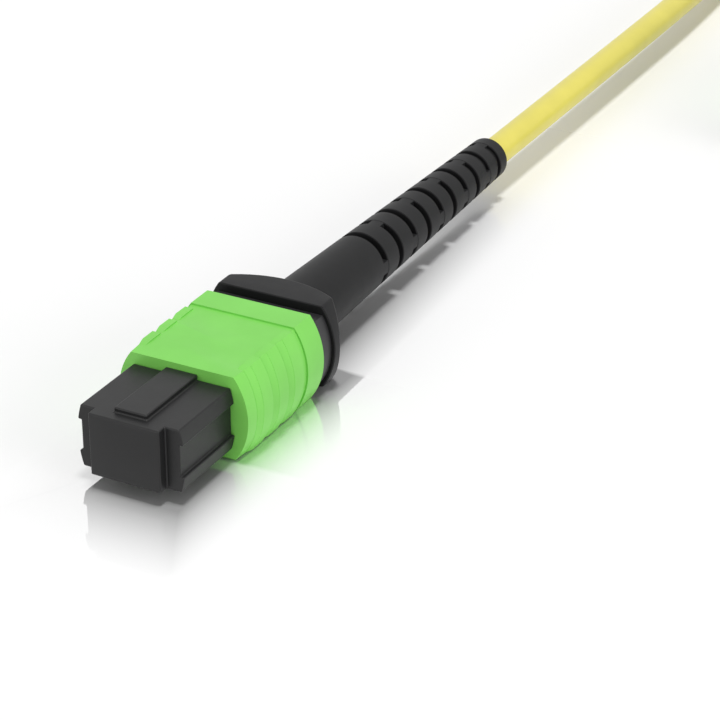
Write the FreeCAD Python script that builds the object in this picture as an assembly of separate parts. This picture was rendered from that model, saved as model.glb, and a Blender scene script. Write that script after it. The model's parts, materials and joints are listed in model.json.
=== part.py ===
import FreeCAD, Part
import math
import os

# A twelve-fibre push-pull connector on a round patch cable, with the same connector at the far end.
# Lengths are in millimetres.  A connector is drawn about its own axis, which runs along +Y from the
# front face of the dust cap, with +X to the right and +Z up, and is then put in its place.

Vector = FreeCAD.Vector

# Clearances
slide_gap = 0.05
seat_gap = 0.02

# Dust cap
plate_width = 6.64
plate_height = 5.62
plate_depth = 1.0
plate_rim = 0.4
plate_rise = 0.1
cap_body_length = 8.0
cap_corner_width = 9.26
cap_bulge_width = 10.12
cap_height = 5.66
cap_channel_depth_width = 9.24
cap_channel_height = 2.86
cap_front_wall = 1.5
cap_key_width = 3.06
cap_key_rise = 0.45
cap_key_setback = 0.2
cap_travel_room = 0.5

# Inner housing
nose_width = 8.3
nose_height = 4.7
nose_edge = 0.3
nose_key_width = 2.1
nose_key_rise = 0.42
nose_key_length = 10.0
housing_length = 17.3
housing_side_wall = 0.4
housing_roof_wall = 0.4
window_depth = 5.7
latch_channel_height = 2.6
latch_channel_depth = 0.4
latch_ramp_length = 2.0
latch_ramp_rise = 0.25
latch_pocket_length = 3.0
latch_pocket_depth = 0.45
stop_width = 1.4
stop_offset = 2.4
stop_height = 0.35
stop_length = 1.2
stop_from_rear = 4.1
hook_height = 1.5
hook_length = 1.1
hook_rise = 0.35
hook_from_rear = 2.25

# Ferrule and what moves with it
ferrule_width = 6.4
ferrule_height = 2.5
ferrule_length = 8.0
ferrule_stand_out = 0.25
ferrule_shoulder_width = nose_width - 2 * housing_side_wall - 2 * slide_gap
ferrule_shoulder_height = 3.2
ferrule_shoulder_length = 2.0
ferrule_face_angle = 8.0
ferrule_pocket_depth = 3.0
glue_window_width = 3.2
glue_window_length = 2.0
glue_window_start = 3.2
guide_hole_diameter = 0.7
guide_hole_spacing = 4.6
fibre_count = 12
fibre_pitch = 0.25
fibre_diameter = 0.125
fibre_sides = 4
ribbon_width = 3.1
ribbon_height = 0.3
ferrule_boot_width = 3.9
ferrule_boot_height = 1.2
ferrule_boot_length = 4.0
ferrule_boot_insert = 2.0
keeper_side_gap = 0.3
keeper_width = nose_width - 2 * housing_side_wall - 2 * slide_gap - 2 * keeper_side_gap
keeper_height = 3.0
keeper_length = 1.5

# Springs
ferrule_spring_width = 5.4
ferrule_spring_height = 3.1
ferrule_spring_wire = 0.4
ferrule_spring_turns = 5
sleeve_spring_diameter = 1.15
sleeve_spring_wire = 0.2
sleeve_spring_turns = 6
sleeve_spring_side_gap = 0.125
sleeve_spring_offset = nose_width / 2 + sleeve_spring_side_gap + sleeve_spring_diameter / 2
spring_steps = 8

# Coupling sleeve
sleeve_front_corner = 9.78
sleeve_corner = 10.0
sleeve_height = 7.66
sleeve_bulge = 12.4
sleeve_lead_in = 1.48
collar_length = 2.75
collar_corner = 10.1
collar_height = 8.0
collar_bulge = 12.74
rib_count = 3
rib_pitch = 2.6
rib_ramp = 0.8
rib_land = 1.56
rib_corner = 10.36
rib_height = 7.88
rib_bulge = 12.76
rib_reach = 0.78
front_bore_length = 2.98
spring_pocket_height = 1.4
spring_pocket_width = 2 * sleeve_spring_offset + sleeve_spring_diameter + 0.35
neck_pocket_depth = 1.95
sleeve_travel = 1.9

# Rear body
ear_width = spring_pocket_width - 2 * slide_gap
ear_height = 1.3
neck_length = 1.9
neck_corner = 10.4
neck_height = 6.2
neck_bulge = 12.1
push_arm_length = 2.9
push_arm_height = 2.4
push_arm_width = 0.75
push_gap = 0.1
push_block_length = 2.2
crimp_tube_length = 7.5
crimp_tube_diameter = 4.4
cable_bore = 3.4
ribbon_slot_height = 1.4

# Crimp
yarn_thickness = 0.14
ring_wall = 0.3
ring_start = 0.9
ring_cone_length = 1.1
ring_neck_length = 3.4
ring_neck_wall = 0.33

# Strain relief boot
flange_corner = 10.2
flange_height = 7.84
flange_bulge = 12.76
flange_depth = 3.47
flange_back_radius = 9.8
boot_length = 44.17
boot_root_diameter = 6.45
boot_tip_diameter = 4.26
boot_sides = 20
boot_core_diameter = 3.7
boot_core_sides = 8
boot_web = 1.24
slot_count = 10
slot_first = 0.365 * boot_length
slot_span = 0.583 * boot_length
slot_pitch_fall = 0.085
slot_width = 0.87
slot_width_fall = 0.013

# Cable and the way it lies
cable_diameter = 3.0
cable_sides = 12
jacket_gap = 1.0
axis_height = 4.0
turn_spacing = 3.06
layer_spacing = 3.06
coil_inner_turn = 10.58
turns_across = 3
layers = 2
coil_sides = 24
coil_centre = Vector(11.8, 141.5, 0)
tie_thickness = 0.35
tie_width = 2.4
tie_angles = {"left": 135.0, "right": 45.0}
bend_share = 0.45
lead_route = [
    (0, 33.0, 4.0), (0.15, 68.0, 4.0), (0, 96.0, 3.9),
    (-2.5, 118.5, 2.1), (-4.9, 133.0, 1.85), (-4.9, 141.5, 1.85)]
tail_route = [
    (24.67, 141.5, 4.91), (24.6, 134.6, 4.9), (23.6, 127.3, 4.0),
    (23.62, 114.0, 4.0), (23.6, 101.4, 4.0)]

# Places along the axis, from the front face of the cap
cap_length = plate_depth + cap_body_length
nose_front = cap_front_wall + cap_travel_room
housing_rear = nose_front + housing_length
stop_start = housing_rear - stop_from_rear
hook_start = housing_rear - hook_from_rear
push_front = housing_rear + push_gap
neck_front = push_front + push_block_length
neck_rear = neck_front + neck_length
ferrule_front = nose_front - ferrule_stand_out
ferrule_rear = ferrule_front + ferrule_length
window_rear = nose_front + window_depth
keeper_front = ferrule_rear + seat_gap
keeper_rear = keeper_front + keeper_length
sleeve_front = cap_length + seat_gap
rib_first = sleeve_lead_in + rib_ramp
sleeve_rear = neck_front - slide_gap
spring_seat = sleeve_front + front_bore_length
neck_pocket_front = sleeve_rear - neck_pocket_depth
crimp_tube_rear = neck_rear + crimp_tube_length
boot_front = neck_rear + seat_gap
boot_rear = boot_front + boot_length
ring_front = neck_rear + ring_start
ring_grip_rear = crimp_tube_rear + seat_gap
ring_cone_rear = ring_grip_rear + ring_cone_length
ring_rear = ring_cone_rear + ring_neck_length
ribbon_front = ferrule_rear - ferrule_pocket_depth + seat_gap
ribbon_rear = crimp_tube_rear + seat_gap
cable_front = ribbon_rear + jacket_gap

# Radii that seat on one another
yarn_inner = crimp_tube_diameter / 2 + seat_gap
yarn_outer = yarn_inner + yarn_thickness
ring_inner = yarn_outer + seat_gap
ring_outer = ring_inner + ring_wall
jacket_seat = cable_diameter / 2 + slide_gap
ring_neck_outer = jacket_seat + ring_neck_wall

# Places of the coil and of the two connectors
first_turn = coil_inner_turn + (turns_across - 1) * turn_spacing
low_turn = tie_thickness + cable_diameter / 2
high_turn = low_turn + (layers - 1) * layer_spacing
near_place = Vector(0, -boot_rear / 2, axis_height)
far_place = Vector(23.6, 56.81, axis_height)


def box(half_width, low, high, start, end):
    """Block across the axis, from -half_width to half_width and from low to high."""
    return Part.makeBox(2 * half_width, end - start, high - low, Vector(-half_width, start, low))


def side_box(inner, outer, half_height, start, end, side):
    """Block on one side of the axis; side is 1 on the right and -1 on the left."""
    left = min(side * inner, side * outer)
    return Part.makeBox(outer - inner, end - start, 2 * half_height, Vector(left, start, -half_height))


def rod(radius, start, end, across=0.0):
    """Round bar along the axis."""
    return Part.makeCylinder(radius, end - start, Vector(across, start, 0), Vector(0, 1, 0))


def pipe(outer, inner, start, end):
    """Round tube along the axis."""
    return rod(outer, start, end).cut(rod(inner, start, end))


def bowed_wire(corner_width, height, bulge_width, place):
    """Outline with a flat top and bottom and two bowed sides."""
    corner = corner_width / 2
    rise = height / 2
    bulge = bulge_width / 2
    right_top = Vector(corner, place, rise)
    right_low = Vector(corner, place, -rise)
    left_top = Vector(-corner, place, rise)
    left_low = Vector(-corner, place, -rise)
    edges = [
        Part.LineSegment(left_top, right_top),
        Part.Arc(right_top, Vector(bulge, place, 0), right_low),
        Part.LineSegment(right_low, left_low),
        Part.Arc(left_low, Vector(-bulge, place, 0), left_top),
    ]
    return Part.Wire([edge.toShape() for edge in edges])


def bowed_prism(corner_width, height, bulge_width, start, end):
    """Straight body of the bowed outline."""
    face = Part.Face(bowed_wire(corner_width, height, bulge_width, start))
    return face.extrude(Vector(0, end - start, 0))


def plan_prism(points, half_height, side=1):
    """Upright prism on an outline of (x, y) points, mirrored for the left side."""
    corners = [Vector(side * x, y, -half_height) for x, y in points]
    return Part.Face(Part.makePolygon(corners + corners[:1])).extrude(Vector(0, 0, 2 * half_height))


def side_prism(points, left, right):
    """Prism across the axis on an outline of (y, z) points."""
    corners = [Vector(left, y, z) for y, z in points]
    return Part.Face(Part.makePolygon(corners + corners[:1])).extrude(Vector(right - left, 0, 0))


def turned(points):
    """Solid of revolution about the axis from (radius, y) points."""
    corners = [Vector(radius, y, 0) for radius, y in points]
    return Part.Face(Part.makePolygon(corners + corners[:1])).revolve(Vector(), Vector(0, 1, 0), 360)


def make_dust_cap():
    """Hollow cap: front plate with a shallow raised panel, bowed body, side channels and a key."""
    half_width = plate_width / 2
    half_height = plate_height / 2
    plate = box(half_width, -half_height, half_height, plate_rise, plate_depth)
    outer = Part.makePolygon([
        Vector(half_width, plate_rise, half_height), Vector(-half_width, plate_rise, half_height),
        Vector(-half_width, plate_rise, -half_height), Vector(half_width, plate_rise, -half_height),
        Vector(half_width, plate_rise, half_height)])
    inner_width = half_width - plate_rim
    inner_height = half_height - plate_rim
    inner = Part.makePolygon([
        Vector(inner_width, 0, inner_height), Vector(-inner_width, 0, inner_height),
        Vector(-inner_width, 0, -inner_height), Vector(inner_width, 0, -inner_height),
        Vector(inner_width, 0, inner_height)])
    panel = Part.makeLoft([outer, inner], True, True)
    body = bowed_prism(cap_corner_width, cap_height, cap_bulge_width, plate_depth, cap_length)
    key_top = cap_height / 2 + cap_key_rise
    key = box(cap_key_width / 2, 0, key_top, plate_depth + cap_key_setback, cap_length)
    cap = body.fuse([plate, panel, key])
    channel_floor = cap_channel_depth_width / 2
    for side in (1, -1):
        cap = cap.cut(side_box(channel_floor, cap_bulge_width, cap_channel_height / 2,
                               plate_depth, cap_length, side))
    room_width = nose_width / 2 + slide_gap
    room_height = nose_height / 2 + slide_gap
    room = box(room_width, -room_height, room_height, cap_front_wall, cap_length)
    key_room = box(nose_key_width / 2 + slide_gap, 0, nose_height / 2 + nose_key_rise + slide_gap,
                   cap_front_wall, cap_length)
    return cap.cut(room.fuse(key_room)).removeSplitter()


def latch_channel(side):
    """Tool for the channel that an adapter's latch runs along: a ramp, then a pocket."""
    outside = nose_width
    floor = nose_width / 2 - latch_channel_depth
    ramp_end = nose_front + latch_ramp_length
    pocket_end = ramp_end + latch_pocket_length
    pocket_floor = nose_width / 2 - latch_pocket_depth
    points = [
        (outside, nose_front - 1), (floor, nose_front - 1), (floor, nose_front),
        (floor + latch_ramp_rise, ramp_end), (pocket_floor, ramp_end),
        (pocket_floor, pocket_end), (outside, pocket_end)]
    return plan_prism(points, latch_channel_height / 2, side)


def make_inner_housing():
    """Nose with its key, latch channels, ferrule window, spring room and sleeve stops."""
    half_width = nose_width / 2
    half_height = nose_height / 2
    shell = box(half_width, -half_height, half_height, nose_front, housing_rear)
    front_edges = [edge for edge in shell.Edges if abs(edge.BoundBox.YMax - nose_front) < slide_gap]
    shell = shell.makeChamfer(nose_edge, front_edges)
    key = box(nose_key_width / 2, 0, half_height + nose_key_rise, nose_front + nose_edge,
              nose_front + nose_key_length)
    shell = shell.fuse(key)
    for side in (1, -1):
        shell = shell.cut(latch_channel(side))
        stop = side_prism([
            (stop_start, -half_height), (stop_start + stop_length, -half_height),
            (stop_start + stop_length, -half_height - stop_height),
            (stop_start + stop_length / 2, -half_height - stop_height)],
            side * stop_offset - stop_width / 2, side * stop_offset + stop_width / 2)
        shell = shell.fuse(stop)
    window_width = ferrule_width / 2 + slide_gap
    window_height = ferrule_height / 2 + slide_gap
    shell = shell.cut(box(window_width, -window_height, window_height, nose_front - 1, window_rear))
    room_width = half_width - housing_side_wall
    room_height = half_height - housing_roof_wall
    shell = shell.cut(box(room_width, -room_height, room_height, window_rear, housing_rear + 1))
    for side in (1, -1):
        shell = shell.cut(side_box(room_width - slide_gap, nose_width, hook_height / 2 + slide_gap,
                                   hook_start - slide_gap, hook_start + hook_length + slide_gap, side))
    return shell.removeSplitter()


def fibre_rod(place, start, end):
    """One bare fibre, or its hole."""
    radius = fibre_diameter / 2
    corners = []
    for step in range(fibre_sides + 1):
        angle = 2 * math.pi * step / fibre_sides
        corners.append(Vector(place + radius * math.cos(angle), start, radius * math.sin(angle)))
    return Part.Face(Part.makePolygon(corners)).extrude(Vector(0, end - start, 0))


def fibre_places():
    """Distances of the fibres from the axis."""
    return [(step - (fibre_count - 1) / 2) * fibre_pitch for step in range(fibre_count)]


def face_setback():
    """How far the tilted end face falls back from its lowest edge to the fibres' row."""
    return ferrule_height / 2 * math.tan(math.radians(ferrule_face_angle))


def make_ferrule():
    """Ferrule with a tilted end face, rear shoulder, guide holes, fibre holes and glue window."""
    half_height = ferrule_height / 2
    setback = 2 * face_setback()
    body = side_prism([
        (ferrule_front, -half_height), (ferrule_front + setback, half_height),
        (ferrule_rear, half_height), (ferrule_rear, -half_height)],
        -ferrule_width / 2, ferrule_width / 2)
    shoulder = box(ferrule_shoulder_width / 2, -ferrule_shoulder_height / 2, ferrule_shoulder_height / 2,
                   ferrule_rear - ferrule_shoulder_length, ferrule_rear)
    ferrule = body.fuse(shoulder)
    pocket_width = ferrule_boot_width / 2 + seat_gap
    pocket_height = ferrule_boot_height / 2 + seat_gap
    pocket_front = ferrule_rear - ferrule_pocket_depth
    ferrule = ferrule.cut(box(pocket_width, -pocket_height, pocket_height, pocket_front, ferrule_rear))
    ferrule = ferrule.cut(box(glue_window_width / 2, 0, ferrule_height, ferrule_front + glue_window_start,
                              ferrule_front + glue_window_start + glue_window_length))
    for side in (1, -1):
        ferrule = ferrule.cut(rod(guide_hole_diameter / 2, 0, ferrule_rear, side * guide_hole_spacing / 2))
    holes = [fibre_rod(place, 0, pocket_front) for place in fibre_places()]
    return ferrule.cut(Part.makeCompound(holes)).removeSplitter()


def make_fibres():
    """Row of bare fibres from the end face to the ribbon."""
    start = ferrule_front + face_setback()
    return Part.makeCompound([fibre_rod(place, start, ribbon_front) for place in fibre_places()])


def make_ribbon():
    """Flat ribbon from the ferrule to the cable."""
    return box(ribbon_width / 2, -ribbon_height / 2, ribbon_height / 2, ribbon_front, ribbon_rear)


def ribbon_passage(start, end):
    """Room for the ribbon through a piece that moves with it."""
    return box(ribbon_width / 2 + seat_gap, -ribbon_height / 2 - seat_gap, ribbon_height / 2 + seat_gap,
               start, end)


def make_ferrule_boot():
    """Soft boot in the ferrule's back, round the ribbon."""
    start = ferrule_rear - ferrule_boot_insert
    end = start + ferrule_boot_length
    boot = box(ferrule_boot_width / 2, -ferrule_boot_height / 2, ferrule_boot_height / 2, start, end)
    return boot.cut(ribbon_passage(start, end))


def make_pin_keeper():
    """Plate between the ferrule and its spring, open for the boot and the guide pins."""
    keeper = box(keeper_width / 2, -keeper_height / 2, keeper_height / 2, keeper_front, keeper_rear)
    keeper = keeper.cut(box(ferrule_boot_width / 2 + slide_gap, -ferrule_boot_height / 2 - slide_gap,
                            ferrule_boot_height / 2 + slide_gap, keeper_front, keeper_rear))
    for side in (1, -1):
        keeper = keeper.cut(rod(guide_hole_diameter / 2, keeper_front, keeper_rear,
                                side * guide_hole_spacing / 2))
    return keeper


def coil_spring(radius, wire, turns, start, end, stretch=1.0):
    """Coil spring along the axis; stretch widens its coils sideways to an oval."""
    half = wire / 2
    pitch = (end - start - wire) / turns
    slices = []
    for step in range(turns * spring_steps + 1):
        angle = 2 * math.pi * step / spring_steps
        along = start + half + pitch * step / spring_steps
        corners = []
        for out, back in ((-half, -half), (half, -half), (half, half), (-half, half)):
            reach = (radius * stretch + out) * math.cos(angle)
            rise = (radius + out) * math.sin(angle)
            corners.append(Vector(reach, along + back, rise))
        slices.append(Part.makePolygon(corners + corners[:1]))
    return Part.makeLoft(slices, True, True)


def make_ferrule_spring():
    """Oval spring from the pin keeper to the rear body."""
    height = ferrule_spring_height - ferrule_spring_wire
    width = ferrule_spring_width - ferrule_spring_wire
    return coil_spring(height / 2, ferrule_spring_wire, ferrule_spring_turns,
                       keeper_rear + slide_gap, push_front - slide_gap, width / height)


def make_sleeve_spring(side):
    """Small spring beside the housing, from the sleeve's shoulder to the rear body's ear."""
    radius = (sleeve_spring_diameter - sleeve_spring_wire) / 2
    spring = coil_spring(radius, sleeve_spring_wire, sleeve_spring_turns,
                         spring_seat + slide_gap, push_front - slide_gap)
    spring.translate(Vector(side * sleeve_spring_offset, 0, 0))
    return spring


def sleeve_rib(start):
    """Rib of a ramp, a land and a sharp drop behind, its ends curled over the top and bottom edges."""
    end = start + rib_land
    rib = Part.makeLoft([
        bowed_wire(sleeve_corner, sleeve_height, sleeve_bulge, start - rib_ramp),
        bowed_wire(rib_corner, rib_height, rib_bulge, start),
        bowed_wire(rib_corner, rib_height, rib_bulge, end)], True, True)
    inner = rib_corner / 2 - rib_reach
    middle = box(inner, -rib_height, rib_height, start - rib_ramp, end)
    core = bowed_prism(sleeve_corner, sleeve_height, sleeve_bulge, start - rib_ramp, end)
    return rib.cut(middle).fuse(core)


def sleeve_hollow():
    """Tool for the inside: nose bore with key and stop grooves, spring pockets and neck pocket."""
    half_width = nose_width / 2 + slide_gap
    half_height = nose_height / 2 + slide_gap
    front = sleeve_front - 1
    hollow = box(half_width, -half_height, half_height, front, neck_pocket_front + seat_gap)
    key_top = nose_height / 2 + nose_key_rise + slide_gap
    hollow = hollow.fuse(box(nose_key_width / 2 + slide_gap, 0, key_top, front, neck_pocket_front + seat_gap))
    hollow = hollow.fuse(box(spring_pocket_width / 2, -spring_pocket_height / 2, spring_pocket_height / 2,
                             spring_seat, neck_pocket_front + seat_gap))
    groove_low = -nose_height / 2 - stop_height - slide_gap
    for side in (1, -1):
        groove = box(stop_width / 2 + slide_gap, groove_low, 0, stop_start - sleeve_travel - slide_gap,
                     stop_start + stop_length + seat_gap)
        hollow = hollow.fuse(groove.translated(Vector(side * stop_offset, 0, 0)))
    neck_pocket = bowed_prism(neck_corner + 2 * slide_gap, neck_height + 2 * slide_gap,
                              neck_bulge + 2 * slide_gap, neck_pocket_front, sleeve_rear + 1)
    return hollow.fuse(neck_pocket)


def make_coupling_sleeve():
    """Bowed sleeve with a tapered lead-in, gripping ribs and a rear collar."""
    lead_end = sleeve_front + sleeve_lead_in
    lead_in = Part.makeLoft([
        bowed_wire(sleeve_front_corner, sleeve_height, sleeve_bulge, sleeve_front),
        bowed_wire(sleeve_corner, sleeve_height, sleeve_bulge, lead_end)], True, True)
    body = bowed_prism(sleeve_corner, sleeve_height, sleeve_bulge, lead_end, sleeve_rear)
    collar = bowed_prism(collar_corner, collar_height, collar_bulge, sleeve_rear - collar_length, sleeve_rear)
    ribs = [sleeve_rib(sleeve_front + rib_first + step * rib_pitch) for step in range(rib_count)]
    return lead_in.fuse([body, collar] + ribs).cut(sleeve_hollow()).removeSplitter()


def make_spring_push():
    """Rear body: arms with hooks, a block with ears for the springs, the neck and the crimp tube."""
    core = box(nose_width / 2, -nose_height / 2, nose_height / 2, push_front, neck_front)
    ears = box(ear_width / 2, -ear_height / 2, ear_height / 2, push_front, neck_front)
    neck = bowed_prism(neck_corner, neck_height, neck_bulge, neck_front, neck_rear)
    tube = rod(crimp_tube_diameter / 2, neck_rear, crimp_tube_rear)
    body = core.fuse([ears, neck, tube])
    arm_outer = nose_width / 2 - housing_side_wall - slide_gap
    arm_inner = arm_outer - push_arm_width
    hook_end = hook_start + hook_length
    for side in (1, -1):
        body = body.fuse(side_box(arm_inner, arm_outer, push_arm_height / 2,
                                  push_front - push_arm_length, push_front, side))
        hook = plan_prism([
            (arm_outer, hook_start), (arm_outer + hook_rise, hook_start + hook_length / 2),
            (arm_outer + hook_rise, hook_end), (arm_outer, hook_end)], hook_height / 2, side)
        body = body.fuse(hook)
    slot = box(cable_bore / 2, -ribbon_slot_height / 2, ribbon_slot_height / 2, push_front, neck_front)
    bore = rod(cable_bore / 2, neck_front, crimp_tube_rear)
    return body.cut(slot.fuse(bore)).removeSplitter()


def make_crimp_ring():
    """Stepped ring: a wide grip on the yarn and a narrow neck on the cable's jacket."""
    return turned([
        (ring_inner, ring_front), (ring_outer, ring_front), (ring_outer, ring_grip_rear),
        (ring_neck_outer, ring_cone_rear), (ring_neck_outer, ring_rear), (jacket_seat, ring_rear),
        (jacket_seat, ring_grip_rear), (ring_inner, ring_grip_rear)])


def make_yarn():
    """Yarn laid back over the crimp tube and held by the ring."""
    return pipe(yarn_outer, yarn_inner, neck_rear + slide_gap, crimp_tube_rear)


def slot_places():
    """Front edge and width of each pair of cuts, closer and narrower towards the tip."""
    gaps = slot_count - 1
    pitch = slot_span / gaps + slot_pitch_fall * (gaps - 1) / 2
    places = []
    start = boot_front + slot_first
    for step in range(slot_count):
        places.append((start, slot_width - step * slot_width_fall))
        start += pitch - step * slot_pitch_fall
    return places


def sided_wire(radius, sides, place):
    """Even-sided outline across the axis, its flat sides at one radius."""
    corner_radius = radius / math.cos(math.pi / sides)
    corners = []
    for step in range(sides):
        angle = 2 * math.pi * (step + 0.5) / sides
        corners.append(Vector(corner_radius * math.cos(angle), place, corner_radius * math.sin(angle)))
    return Part.makePolygon(corners + corners[:1])


def boot_slot(start, width, upright):
    """Tool for one pair of cuts that leaves two webs; upright cuts come in from above and below."""
    reach = boot_root_diameter
    core = Part.Face(sided_wire(boot_core_diameter / 2, boot_core_sides, start))
    ring = box(reach, -reach, reach, start, start + width).cut(core.extrude(Vector(0, width, 0)))
    half_web = boot_web / 2
    if upright:
        return ring.cut(box(2 * reach, -half_web, half_web, start, start + width))
    return ring.cut(box(half_web, -2 * reach, 2 * reach, start, start + width))


def make_boot():
    """Soft boot: a bowed flange rounded behind, and a tapered tube with crossed slots."""
    flange_end = boot_front + flange_depth
    flange = bowed_prism(flange_corner, flange_height, flange_bulge, boot_front, flange_end)
    back = Part.makeCylinder(flange_back_radius, 2 * flange_height,
                             Vector(0, flange_end - flange_back_radius, -flange_height))
    flange = flange.common(back)
    tube = Part.makeLoft([
        sided_wire(boot_root_diameter / 2, boot_sides, boot_front),
        sided_wire(boot_tip_diameter / 2, boot_sides, boot_rear)], True, True)
    hollow = turned([
        (0, boot_front), (ring_outer + slide_gap, boot_front),
        (ring_outer + slide_gap, ring_grip_rear + slide_gap),
        (ring_neck_outer + slide_gap, ring_cone_rear + slide_gap),
        (ring_neck_outer + slide_gap, ring_rear + slide_gap),
        (jacket_seat, ring_rear + slide_gap), (jacket_seat, boot_rear), (0, boot_rear)])
    boot = flange.fuse(tube).cut(hollow)
    for step, (start, width) in enumerate(slot_places()):
        boot = boot.cut(boot_slot(start, width, step % 2 == 0))
    return boot


def connector_pieces():
    """Every piece of one connector, about its own axis."""
    return {
        "dust_cap": make_dust_cap(),
        "inner_housing": make_inner_housing(),
        "coupling_sleeve": make_coupling_sleeve(),
        "mt_ferrule": make_ferrule(),
        "fibres": make_fibres(),
        "fibre_ribbon": make_ribbon(),
        "ferrule_boot": make_ferrule_boot(),
        "pin_keeper": make_pin_keeper(),
        "ferrule_spring": make_ferrule_spring(),
        "sleeve_spring_left": make_sleeve_spring(-1),
        "sleeve_spring_right": make_sleeve_spring(1),
        "spring_push": make_spring_push(),
        "aramid_yarn": make_yarn(),
        "crimp_ring": make_crimp_ring(),
        "strain_relief_boot": make_boot(),
    }


def cable_section(place, heading):
    """Section of the cable across its heading, with the area of the round one."""
    step_angle = 2 * math.pi / cable_sides
    round_area = math.pi * cable_diameter ** 2 / 4
    radius = math.sqrt(2 * round_area / (cable_sides * math.sin(step_angle)))
    turn = FreeCAD.Rotation(Vector(0, 0, 1), heading)
    corners = []
    for step in range(cable_sides):
        angle = (step + 0.5) * step_angle
        corner = Vector(radius * math.cos(angle), radius * math.sin(angle), 0)
        corners.append(place + turn.multVec(corner))
    return Part.Face(Part.makePolygon(corners + corners[:1]))


def cable_run(points, name):
    """Cable of straight runs joined by arcs, each as large as its runs allow."""
    section = cable_section(points[0], points[1] - points[0])
    pieces = []
    length = 0.0
    last = points[0]
    for before, corner, after in zip(points, points[1:], points[2:]):
        into = corner - before
        out = after - corner
        turn = into.getAngle(out)
        reach = bend_share * min(into.Length, out.Length)
        into.normalize()
        out.normalize()
        radius = reach / math.tan(turn / 2)
        axis = into.cross(out).normalize()
        start = corner - into * reach
        centre = start + axis.cross(into) * radius
        pieces.append(section.extrude(start - last))
        section.translate(start - last)
        pieces.append(section.revolve(centre, axis, math.degrees(turn)))
        section.rotate(centre, axis, math.degrees(turn))
        length += (start - last).Length + radius * turn
        print(name, "bend radius", round(radius, 1), "mm")
        last = corner + out * reach
    pieces.append(section.extrude(points[-1] - last))
    length += (points[-1] - last).Length
    solid = pieces[0].fuse(pieces[1:])
    expected = length * math.pi * cable_diameter ** 2 / 4
    print(name, "length", round(length, 1), "mm, volume over section times length",
          round(solid.Volume / expected, 4))
    return solid


def ring_prism(radius, low, high):
    """Upright prism whose flat sides lie at one radius from the coil's centre."""
    corner_radius = radius / math.cos(math.pi / coil_sides)
    corners = []
    for step in range(coil_sides):
        angle = 2 * math.pi * (step + 0.5) / coil_sides
        corner = Vector(corner_radius * math.cos(angle), corner_radius * math.sin(angle), low)
        corners.append(coil_centre + corner)
    return Part.Face(Part.makePolygon(corners + corners[:1])).extrude(Vector(0, 0, high - low))


def coil_reach():
    """Inner and outer radius and top of the wound coil."""
    inner = coil_inner_turn - cable_diameter / 2
    outer = first_turn + cable_diameter / 2
    return inner, outer, high_turn + cable_diameter / 2


def make_coil():
    """The put-away turns, as one many-sided ring of their outer shape."""
    inner, outer, top = coil_reach()
    return ring_prism(outer, tie_thickness, top).cut(ring_prism(inner, tie_thickness, top))


def make_tie(angle):
    """Strap round the coil, flat on one of its sides."""
    inner, outer, top = coil_reach()
    strap = Part.makeBox(outer - inner + 2 * tie_thickness, tie_width, top + tie_thickness,
                         coil_centre + Vector(inner - tie_thickness, -tie_width / 2, 0))
    strap = strap.cut(Part.makeBox(outer - inner, tie_width, top - tie_thickness,
                                   coil_centre + Vector(inner, -tie_width / 2, tie_thickness)))
    strap.rotate(coil_centre, Vector(0, 0, 1), angle)
    return strap


def make_cable_pieces():
    """Cable from the near connector into the coil, the coil, and from it to the far connector."""
    cable_start = Vector(0, cable_front, 0)
    lead = [near_place + cable_start] + [Vector(place) for place in lead_route]
    tail = [Vector(place) for place in tail_route] + [far_place + cable_start]
    coil = make_coil()
    return {
        "cable_lead": cable_run(lead, "lead").cut(coil),
        "cable_coil": coil,
        "cable_tail": cable_run(tail, "tail").cut(coil),
    }


def main():
    os.makedirs("parts", exist_ok=True)
    shapes = make_cable_pieces()
    for name, angle in tie_angles.items():
        shapes["coil_tie_" + name] = make_tie(angle)
    for name, shape in connector_pieces().items():
        shapes[name] = shape.translated(near_place)
        shapes["far_" + name] = shape.translated(far_place)
    for name, shape in shapes.items():
        print(name, "solids", len(shape.Solids), "valid", shape.isValid(), "volume", round(shape.Volume, 3))
        shape.exportStep("parts/" + name + ".step")


main()
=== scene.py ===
# %% [markdown]
# # Push-pull fibre connector on a patch lead
# The looks of a twelve-fibre connector: a black dust cap, a green coupling sleeve with gripping
# ribs, a soft black boot with crossed slots, and a yellow cable that leads to a coil and to the
# same connector at its other end.  Each piece could be placed by hand.  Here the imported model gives
# every place and the main sizes, so that the looks stay with the model when a size changes.

# %% Load the model
import json
import math
import bmesh
import bpy
from mathutils import Matrix, Vector


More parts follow.
